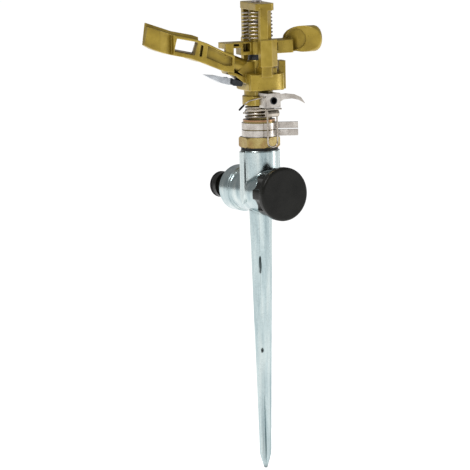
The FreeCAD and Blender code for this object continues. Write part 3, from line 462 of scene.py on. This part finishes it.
def pocket(middle_z, length, width, depth):
    """A long pointed cutter set into the groove's bottom."""
    build = bmesh.new()
    bmesh.ops.create_icosphere(build, subdivisions=POCKET_DETAIL, radius=1.0)
    out = Matrix.Rotation(math.radians(GROOVE_ANGLE), 3, "Z")
    for vertex in build.verts:
        point = Vector((vertex.co.x * depth, vertex.co.y * width / 2, vertex.co.z * length / 2))
        vertex.co = groove_point(middle_z) + out @ point
    return new_piece("pocket", build)


def spike_seam():
    """Fine parting line along the bottom of the spike's groove."""
    half = SEAM_WIDTH / 2
    along = Vector((1.0, -1.0, 0.0)).normalized()
    build = bmesh.new()
    rows = []
    for step in range(SEAM_STEPS + 1):
        z = SEAM_TOP_Z + (SEAM_END_Z - SEAM_TOP_Z) * step / SEAM_STEPS
        under = groove_point(z, -SEAM_BURIED)
        rows.append([build.verts.new(under - along * half), build.verts.new(under + along * half),
                     build.verts.new(groove_point(z, SEAM_PROUD))])
    tube_between(build, rows)
    join(new_piece("spike_seam", build), "stake", "plated_zinc")


def tube_between(build, rings):
    """Closes a row of equal rings of vertices into a skin with two ends."""
    sides = len(rings[0])
    for lower, upper in zip(rings, rings[1:]):
        for side in range(sides):
            after = (side + 1) % sides
            build.faces.new((lower[side], lower[after], upper[after], upper[side]))
    build.faces.new(rings[0])
    build.faces.new(reversed(rings[-1]))


def sleeve_along(name, centres, radii):
    """A closed round sleeve through centre points, one radius at each."""
    build = bmesh.new()
    axis = (centres[-1] - centres[0]).normalized()
    across = axis.orthogonal().normalized()
    other = axis.cross(across)
    rings = []
    for centre, radius in zip(centres, radii):
        angles = [math.tau * step / SLEEVE_SIDES for step in range(SLEEVE_SIDES)]
        rings.append([build.verts.new(centre + (across * math.cos(a) + other * math.sin(a)) * radius)
                      for a in angles])
    tube_between(build, rings)
    piece = new_piece(name, build)
    for polygon in piece.data.polygons:
        polygon.use_smooth = len(polygon.vertices) == 4
    return piece


def snap_wire_tip():
    """Black dipped tip on the lower end of the side wire."""
    low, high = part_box("snap_wire")
    end = Vector((low.x, high.y, low.z)) + Vector((1.0, -1.0, 1.0)) * SNAP_WIRE_RADIUS
    up = Vector(SNAP_WIRE_RISE).normalized()
    tip = sleeve_along("snap_wire_tip", [end + up * (station * MM) for station in TIP_STATIONS],
                       [radius * MM for radius in TIP_RADII])
    join(tip, "head", "black_plastic")


def dark_rivet():
    """The deflector's rivet, blackened like its bracket."""
    adopt(copied("deflector_pin", "deflector_rivet"), "deflector_pin", "dark_steel")


def spike_pockets():
    """The long moulding pocket near the groove's top and the notch halfway down."""
    return [pocket(-34.0 * MM, 13.0 * MM, 1.7 * MM, 0.55 * MM),
            pocket(-91.0 * MM, 3.0 * MM, 1.6 * MM, 0.5 * MM)]


for cast_node in ("sprinkler_body", "drive_arm"):
    softened(cast_node, CAST_VOXEL, CAST_ROUNDS)
softened("end_cap", STAKE_VOXEL, STAKE_ROUNDS)
softened("spike_body", STAKE_VOXEL, STAKE_ROUNDS, spike_pockets())
spike_seam()
snap_wire_tip()
dark_rivet()

for cad_node, cad_object in frame["nodes"].items():
    dress(cad_object, SLOT_OF[cad_node])


# ---------------------------------------------------------------- stage


def plane(name, corners):
    """A single flat quad on the stage."""
    build = bmesh.new()
    build.faces.new([build.verts.new(corner) for corner in corners])
    return new_mesh(name, build)


def stage_material(name, colour, glow):
    """Plain matte stage surface that also glows a little."""
    material, shader = new_material(name)
    shader.inputs["Base Color"].default_value = (*colour, 1.0)
    shader.inputs["Roughness"].default_value = 0.9
    shader.inputs["Emission Color"].default_value = (1.0, 1.0, 1.0, 1.0)
    shader.inputs["Emission Strength"].default_value = glow
    return material


def view_axes():
    """The camera's right, up and back directions in the frame."""
    azimuth = math.radians(CAMERA_AZIMUTH)
    elevation = math.radians(CAMERA_ELEVATION)
    right = Vector((math.cos(azimuth), math.sin(azimuth), 0.0))
    back = Vector((math.sin(azimuth) * math.cos(elevation),
                   -math.cos(azimuth) * math.cos(elevation), math.sin(elevation)))
    return right, back.cross(right), back


def floor():
    """Pale floor just under the spike's point."""
    level = CAD_LOW.z - FLOOR_CLEARANCE
    reach = FLOOR_REACH
    piece = plane("floor", [(-reach, -reach, level), (reach, -reach, level),
                            (reach, reach, level), (-reach, reach, level)])
    piece.data.materials.append(stage_material("floor_white", (0.80, 0.80, 0.80), FLOOR_GLOW))


def area_light(name, offset, size, power):
    """A soft box aimed at the object's middle, offset from it across, up and towards the camera."""
    right, _, back = view_axes()
    middle = (CAD_LOW + CAD_HIGH) / 2
    place = middle + right * offset[0] + Vector((0, 0, 1)) * offset[1] + back * offset[2]
    data = bpy.data.lights.new(name, "AREA")
    data.shape = "RECTANGLE"
    data.size, data.size_y = size
    data.energy = power
    light = placed(name, data)
    light.location = place
    light.rotation_euler = (middle - place).to_track_quat("-Z", "Y").to_euler()


def camera():
    """The camera, aimed beside the turning axis and rolled a little."""
    right, up, back = view_axes()
    aim = right * AIM_ACROSS + Vector((0, 0, AIM_HEIGHT))
    data = bpy.data.cameras.new("camera")
    data.lens = CAMERA_LENS
    data.sensor_width = SENSOR_WIDTH
    data.clip_end = FAR_CLIP
    piece = placed("camera", data)
    roll = math.radians(CAMERA_ROLL)
    rolled_right = right * math.cos(roll) + up * math.sin(roll)
    rolled_up = up * math.cos(roll) - right * math.sin(roll)
    rows = Matrix((rolled_right, rolled_up, back)).transposed()
    piece.matrix_world = Matrix.Translation(aim + back * CAMERA_DISTANCE) @ rows.to_4x4()
    bpy.context.scene.camera = piece


def world():
    """Even pale surround."""
    surround = bpy.data.worlds.new("studio")
    surround.use_nodes = True
    background = surround.node_tree.nodes["Background"]
    background.inputs["Color"].default_value = (1.0, 1.0, 1.0, 1.0)
    background.inputs["Strength"].default_value = SURROUND
    bpy.context.scene.world = surround


floor()
world()
area_light("key", (-0.7, 1.1, 0.9), (0.5, 0.5), 11.0)
area_light("rim", (1.2, 0.35, -0.1), (0.25, 1.0), 2.5)
camera()
bpy.context.scene.view_settings.view_transform = "Standard"
